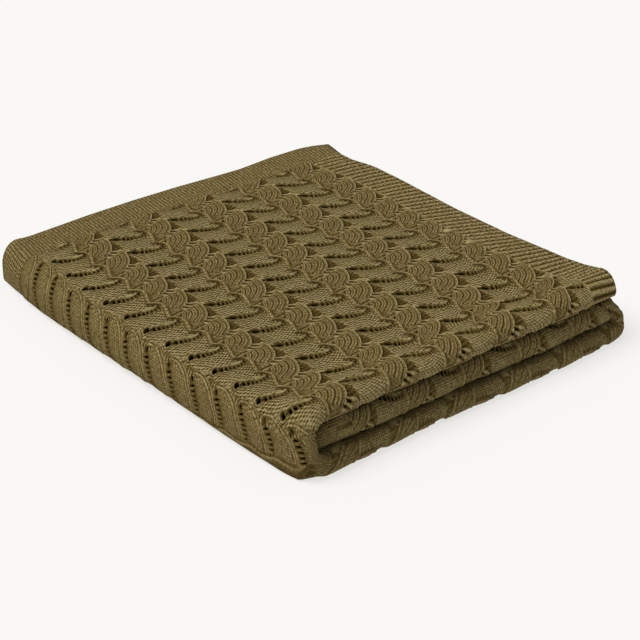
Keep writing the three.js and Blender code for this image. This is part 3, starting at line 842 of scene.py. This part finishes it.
def draw_ribs(face):
    """Slanting ribs across the end on top, a few lines for every rib."""
    t = spaced(1.5, RIB_LENGTH - 1.0, 6)
    steps = len(RIB_STEPS)
    for k in range(int((PANEL_EDGE + 40) / RIB_PITCH * steps)):
        middle = -40 + k * RIB_PITCH / steps
        c = middle + along(RIB_SLANT, middle) * (t - RIB_LENGTH / 2)
        inside = c < PANEL_EDGE - 2
        if inside.sum() < 2:
            continue
        face.add(paired(t[inside], c[inside]), RIB_STEPS[k % steps])
    edge = np.arange(-26.0, PANEL_EDGE - 3, 5.0)
    face.add(paired(RIB_LENGTH + 1.2, edge), (1.0, 0.85, 0.3))


# The lattice of stitches. On the leaves: stitches for every millimetre right and up, in its two directions.
# On the wall and on the bands: the size of a stitch in millimetres
LEAF_LATTICE = ((0.1467, 0.0935), (0.140, -0.229))
WALL_STITCH = (2.95, 4.2)
BAND_STITCH = (5.4, 5.25)

# How much finer the stitches are round the front fold
FRONT_STRETCH = 0.6


def stitch_coordinates(flat, triangles):
    """Where every corner lies in the lattice of stitches."""
    corner = flat[triangles]
    corner[:, :, 1] += FRONT_STRETCH * np.clip(corner[:, :, 1], -HAIRPIN_ARC, HAIRPIN_ARC)
    shift_t, shift_c = drift(corner[:, :, 0].ravel(), corner[:, :, 1].ravel())
    t = corner[:, :, 0] - np.reshape(shift_t, corner.shape[:2])
    c = corner[:, :, 1] - np.reshape(shift_c, corner.shape[:2])
    centre_t = t.mean(axis=1)
    column = np.floor((centre_t - FIRST_CHAIN_T + 12) / REPEAT_T) + 1
    right = (FIRST_CHAIN_T + REPEAT_T * column)[:, None] - t
    up = c - FIRST_HINGE_C - along(LADDER, right)
    on_leaves = np.stack([right * u + up * v for u, v in LEAF_LATTICE], axis=2)
    right = FIRST_CHAIN_T + REPEAT_T * WALL_COLUMN + along(WALL_DRIFT, corner[:, :, 1]) - corner[:, :, 0]
    up = corner[:, :, 1] - along(WALL_LADDER, right)
    on_wall = np.stack([right / WALL_STITCH[0], up / WALL_STITCH[1]], axis=2)
    wall = centre_t > TOP_END_T + 14
    return np.where(wall[:, None, None], on_wall, on_leaves)


def add_object(name, data):
    """Puts a mesh, camera or light in the scene."""
    obj = bpy.data.objects.new(name, data)
    bpy.context.scene.collection.objects.link(obj)
    return obj


def aim(obj, at, target):
    """Places a camera or light and points it at a target."""
    obj.location = at
    obj.rotation_euler = (Vector(target) - Vector(at)).to_track_quat("-Z", "Y").to_euler()


def add_cloth(name, vertices, faces, uv, material):
    """A smooth mesh of faces with the same number of sides, and the stitch coordinates of every corner."""
    mesh = bpy.data.meshes.new(name)
    mesh.vertices.add(len(vertices))
    mesh.vertices.foreach_set("co", np.asarray(vertices, np.float32).ravel())
    faces = np.asarray(faces, np.int32)
    sides = faces.shape[1]
    mesh.loops.add(faces.size)
    mesh.loops.foreach_set("vertex_index", faces.ravel())
    mesh.polygons.add(len(faces))
    mesh.polygons.foreach_set("loop_start", np.arange(0, faces.size, sides, dtype=np.int32))
    mesh.polygons.foreach_set("use_smooth", np.ones(len(faces), bool))
    mesh.update(calc_edges=True)
    mesh.validate()
    mesh.materials.append(material)
    layer = mesh.uv_layers.new(name="stitch")
    layer.data.foreach_set("uv", np.asarray(uv, np.float32).ravel())
    return add_object(name, mesh)


def edges_of(triangles):
    """All edges of triangles, each with its lower number first."""
    pairs = np.vstack([triangles[:, [0, 1]], triangles[:, [1, 2]], triangles[:, [2, 0]]])
    return set(map(tuple, np.sort(pairs, axis=1).tolist()))


def points_between(places, edges, first, last):
    """Points along one side of an opening, in order with both ends. Other lines may have split the side."""
    if (min(first, last), max(first, last)) in edges:
        return [first, last]
    way = places[last] - places[first]
    away = places - places[first]
    share = (away @ way) / (way @ way)
    off = np.abs(away[:, 0] * way[1] - away[:, 1] * way[0]) / np.linalg.norm(way)
    on = np.nonzero((off < MERGE_DISTANCE) & (share > 0) & (share < 1))[0]
    return [first, *on[np.argsort(share[on])].tolist(), last]


def without_holes(places, triangles, holes):
    """The triangles whose middles lie in no opening."""
    centre = places[triangles].mean(axis=1)
    keep = np.ones(len(triangles), bool)
    order = np.argsort(centre[:, 0])
    sorted_t = centre[order, 0]
    for _, _, middle, loop in holes:
        reach = np.abs(loop - middle).max()
        low, high = np.searchsorted(sorted_t, [middle[0] - reach, middle[0] + reach])
        near = order[low:high]
        near = near[np.abs(centre[near, 1] - middle[1]) < reach]
        keep[near[point_in(loop, centre[near, 0], centre[near, 1])]] = False
    return triangles[keep]


# Past the top the relief fades where the cloth turns under: over these widths at the front and at the left
FRONT_FADE = 9.0
LEFT_FADE = 16.0

# The painted light and shade is drawn towards a middle brightness on the lower lobes: the middle, and the
# share kept on the lowest lobe and on the one over it
MIDDLE_TONE = 0.62
LOW_LOBE_CALM = 0.5
LOBE_CALM = 0.7

# Round the front fold the beads are flatter: by how much, and how far across
FRONT_BEAD_LOSS = 0.4
FRONT_BEAD_REACH = 20.0

# Brightness and bead of the cloth's inner face, darkened with painted shade
SHADED_BACK_VALUE = 0.4


def settle_values(values, t, c):
    """Fades the relief, weakens the painted light and shade and flattens the beads away from the top."""
    on_front = np.clip((HAIRPIN_ARC - np.abs(c)) / FRONT_FADE, 0, 1)
    on_left = np.clip((LEFT_WRAP_END_T - 3 - t) / LEFT_FADE, 0, 1)
    values[:, 0] *= np.where(t > TOP_END_T, np.maximum(on_front, on_left), 1)
    calm = np.where(t < RIGHT_WRAP_END_T, LOW_LOBE_CALM, LOBE_CALM)
    calm = np.where(t < LEFT_WRAP_END_T, 1.0, calm)
    values[:, 1] = MIDDLE_TONE + calm * (values[:, 1] - MIDDLE_TONE)
    values[:, 2] *= 1 - FRONT_BEAD_LOSS * np.exp(-((c / FRONT_BEAD_REACH) ** 2))


def build_panel(material):
    """The lace panel with both ribbed ends: one closed cloth whose openings go through face and back."""
    face, back = FlatCloth(), FlatCloth()
    edge = outline(face, 30)
    outline(back, 30)
    holes = draw_lace(face, back)
    draw_ribs(face)
    draw_hem(face)
    coarse_points(face, round_lace=True)
    coarse_points(back)
    flat, values, triangles, place_of = face.triangulate()
    flat_back, _, triangles_back, place_back = back.triangulate()
    triangles = without_holes(flat, triangles, holes)
    triangles_back = without_holes(flat_back, triangles_back, holes)

    t, c = flat[:, 0], flat[:, 1]
    settle_values(values, t, c)
    points = folded(t, c, CLOTH / 2 + values[:, 0])
    points_back = folded(flat_back[:, 0], flat_back[:, 1], np.full(len(flat_back), -CLOTH / 2))
    shift = len(points)

    edges, edges_back = edges_of(triangles), edges_of(triangles_back)
    sides = []
    for upper, lower, _, loop in holes:
        n = len(loop)
        sides += [(upper + k, upper + (k + 1) % n, lower + k, lower + (k + 1) % n) for k in range(n)]
    n = len(edge)
    sides += [(k, (k + 1) % n, k, (k + 1) % n) for k in range(n)]
    walls = []
    for first, last, first_back, last_back in sides:
        above = points_between(flat, edges, place_of[first], place_of[last])
        below = points_between(flat_back, edges_back, place_back[first_back], place_back[last_back])
        walls += [(above[k], above[k + 1], below[0] + shift) for k in range(len(above) - 1)]
        walls += [(above[-1], below[k + 1] + shift, below[k] + shift) for k in range(len(below) - 1)]
    everything = np.vstack([triangles[:, [0, 2, 1]], triangles_back + shift, np.array(walls)])
    uv = stitch_coordinates(flat, triangles)[:, [0, 2, 1]]
    uv = np.vstack([uv, flat_back[triangles_back], np.zeros((len(walls), 3, 2))])
    obj = add_cloth("panel_knit", np.vstack([points, points_back]), everything, uv, material)
    # Per-point painted light and shade, and bead depth, for the material
    for column, name in ((1, "painted_shading"), (2, "bead")):
        all_values = np.append(values[:, column], np.full(len(flat_back), SHADED_BACK_VALUE))
        layer = obj.data.attributes.new(name, "FLOAT", "POINT")
        layer.data.foreach_set("value", all_values.astype(np.float32))
    return obj


def build_band(name, side, material):
    """A side band: a thin closed strip along one long edge."""
    t = length_places(8, 3.0)
    c = np.array([PANEL_EDGE + SEAM_GAP, *spaced(PANEL_EDGE + 4, HALF_WIDTH - 3, 7), HALF_WIDTH]) * side
    rows, columns = len(t), len(c)
    tt, cc = np.meshgrid(t, c, indexing="ij")
    tt, cc = tt.ravel(), cc.ravel()
    upper = folded(tt, cc, np.full(len(tt), CLOTH / 2))
    lower = folded(tt, cc, np.full(len(tt), CLOTH / 2 - BAND_CLOTH))
    shift = len(tt)
    index = np.arange(rows * columns).reshape(rows, columns)
    quads = np.stack([index[:-1, :-1], index[:-1, 1:], index[1:, 1:], index[1:, :-1]], axis=2).reshape(-1, 4)
    if side < 0:
        quads = quads[:, ::-1]
    faces = [quads, quads[:, ::-1] + shift]
    ring = np.concatenate([index[0], index[1:, -1], index[-1, -2::-1], index[-2:0:-1, 0]])
    after = np.roll(ring, -1)
    rim = np.stack([ring, ring + shift, after + shift, after], axis=1)
    faces.append(rim if side > 0 else rim[:, ::-1])
    faces = np.vstack(faces)
    uv = np.tile(paired(tt, cc) / BAND_STITCH, (2, 1))
    return add_cloth(name, np.vstack([upper, lower]), faces, uv[faces], material)


# Colours of the yarn from the gaps to the crowns of the stitches: the yarn's own colour, with painted shadow
# towards the gaps and painted highlight towards the crowns
YARN_SHADOW_TO_HIGHLIGHT = (
    (0.005, 0.0026, 0.0003), (0.080, 0.0530, 0.0142), (0.184, 0.1392, 0.0575), (0.318, 0.2575, 0.123),
)
YARN_ROUGHNESS = 0.95
BAND_TONE = 0.66

# Stitches: their middle height, the waves in the two directions of the lattice, and the height that shows
# the tone itself. Noise shifts them: its scale, its detail and how many stitches it reaches
STITCH_MIDDLE = 0.5
STITCH_WAVES = (0.27, 0.25)
STITCH_CROWN = 0.7
UNREST = (110, 1, 0.9)

# Fuzz is finer noise: its scale and detail, its height and its shade
FUZZ = (300, 3)
FUZZ_HEIGHT = 0.5
FUZZ_SHADE = (1.5, 0.25)


def matte_material(name, roughness):
    """A new material without gloss, and its shader."""
    material = bpy.data.materials.new(name)
    material.use_nodes = True
    shader = material.node_tree.nodes["Principled BSDF"]
    shader.inputs["Roughness"].default_value = roughness
    shader.inputs["Specular IOR Level"].default_value = 0.0
    return material, shader


def knit_material(name, depth, painted_stitch_contrast, toned):
    """Cotton yarn with a lattice of bumped stitches: a painted highlight on each crown and painted shade in
    the gaps between them.
    """
    material, shader = matte_material(name, YARN_ROUGHNESS)
    nodes, links = material.node_tree.nodes, material.node_tree.links
    uv = nodes.new("ShaderNodeUVMap")
    uv.uv_map = "stitch"
    split = nodes.new("ShaderNodeSeparateXYZ")
    links.new(uv.outputs["UV"], split.inputs[0])

    def calculate(kind, first, second=None, third=None):
        node = nodes.new("ShaderNodeMath")
        node.operation = kind
        for socket, value in zip(node.inputs, (first, second, third)):
            if value is None:
                continue
            if isinstance(value, (int, float)):
                socket.default_value = value
            else:
                links.new(value, socket)
        return node.outputs[0]

    def attribute(name):
        node = nodes.new("ShaderNodeAttribute")
        node.attribute_name = name
        return node.outputs["Fac"]

    place = nodes.new("ShaderNodeTexCoord")

    def noise(scale, detail):
        node = nodes.new("ShaderNodeTexNoise")
        node.inputs["Scale"].default_value = scale
        node.inputs["Detail"].default_value = detail
        links.new(place.outputs["Object"], node.inputs["Vector"])
        return node.outputs["Fac"]

    scale, detail, stitches = UNREST
    unrest = noise(scale, detail)
    beads = STITCH_MIDDLE
    for axis, wave_height in enumerate(STITCH_WAVES):
        phase = calculate("MULTIPLY_ADD", unrest, stitches, split.outputs[axis])
        wave = calculate("COSINE", calculate("MULTIPLY", phase, 2 * math.pi))
        beads = calculate("MULTIPLY_ADD", wave, wave_height, beads)
    fuzz = noise(*FUZZ)
    if toned:
        below_crown = calculate("SUBTRACT", beads, STITCH_CROWN)
        beads = calculate("MULTIPLY_ADD", below_crown, attribute("bead"), STITCH_CROWN)
    bump = nodes.new("ShaderNodeBump")
    bump.inputs["Strength"].default_value = 1.0
    bump.inputs["Distance"].default_value = depth * MM
    links.new(calculate("MULTIPLY_ADD", fuzz, FUZZ_HEIGHT, beads), bump.inputs["Height"])
    links.new(bump.outputs[0], shader.inputs["Normal"])
    # Painted highlight on the stitch crowns and painted shade in the gaps, times the per-point painted light
    # and shade
    shade = calculate("MULTIPLY_ADD", beads, painted_stitch_contrast, 1 - STITCH_CROWN * painted_stitch_contrast)
    shade = calculate("MULTIPLY", shade, calculate("MULTIPLY_ADD", fuzz, *FUZZ_SHADE))
    shade = calculate("MULTIPLY", shade, attribute("painted_shading") if toned else BAND_TONE)
    ramp = nodes.new("ShaderNodeValToRGB")
    ramp.color_ramp.elements[0].color = (*YARN_SHADOW_TO_HIGHLIGHT[0], 1)
    ramp.color_ramp.elements[1].color = (*YARN_SHADOW_TO_HIGHLIGHT[-1], 1)
    for k, color in enumerate(YARN_SHADOW_TO_HIGHLIGHT[1:-1]):
        element = ramp.color_ramp.elements.new((k + 1) / (len(YARN_SHADOW_TO_HIGHLIGHT) - 1))
        element.color = (*color, 1)
    links.new(shade, ramp.inputs[0])
    links.new(ramp.outputs[0], shader.inputs["Base Color"])
    return material


def make_camera():
    """The camera at the photograph's viewpoint."""
    camera = bpy.data.cameras.new("camera")
    camera.lens = LENS
    camera.sensor_width = SENSOR
    camera.clip_end = 20
    obj = add_object("camera", camera)
    origin = Vector((*ORIGIN, 0.0))
    aim(obj, (Vector(CAMERA_AT) - origin) * MM, (Vector(CAMERA_TARGET) - origin) * MM)
    bpy.context.scene.camera = obj


WORLD_STRENGTH = 0.43
FLOOR_SIZE = 12.0
PAPER_COLOR = (0.205, 0.202, 0.199, 1)
PAPER_GLOW = (1, 0.985, 0.965, 1)
PAPER_GLOW_STRENGTH = 0.705
KEY_ENERGY = 2.85
KEY_SPREAD = 35.0
KEY_AT = (-1.3, 0.5, 2.4)


def make_stage():
    """White surroundings, a pale paper floor and one soft light from the photograph's upper left."""
    scene = bpy.context.scene
    scene.view_settings.view_transform = "Standard"
    world = bpy.data.worlds.new("studio")
    scene.world = world
    world.use_nodes = True
    background = world.node_tree.nodes["Background"]
    background.inputs["Color"].default_value = (1, 1, 1, 1)
    background.inputs["Strength"].default_value = WORLD_STRENGTH
    mesh = bpy.data.meshes.new("floor")
    corners = [(x * FLOOR_SIZE, y * FLOOR_SIZE, 0) for x, y in ((-1, -1), (1, -1), (1, 1), (-1, 1))]
    mesh.from_pydata(corners, [], [(0, 1, 2, 3)])
    floor = add_object("floor", mesh)
    paper, shader = matte_material("paper", 1.0)
    shader.inputs["Base Color"].default_value = PAPER_COLOR
    shader.inputs["Emission Color"].default_value = PAPER_GLOW
    shader.inputs["Emission Strength"].default_value = PAPER_GLOW_STRENGTH
    mesh.materials.append(paper)
    key = bpy.data.lights.new("key", "SUN")
    key.energy = KEY_ENERGY
    key.angle = math.radians(KEY_SPREAD)
    aim(add_object("key", key), KEY_AT, (0, 0, 0))


make_camera()
make_stage()

lace_yarn = knit_material("lace_yarn", depth=1.6, painted_stitch_contrast=1.4, toned=True)
band_yarn = knit_material("band_yarn", depth=1.1, painted_stitch_contrast=1.0, toned=False)

panel = build_panel(lace_yarn)
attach(panel, "root")
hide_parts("panel")

for band_name, band_side in (("side_band_outer", 1), ("side_band_inner", -1)):
    band = build_band(band_name + "_knit", band_side, band_yarn)
    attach(band, "root")
    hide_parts(band_name)
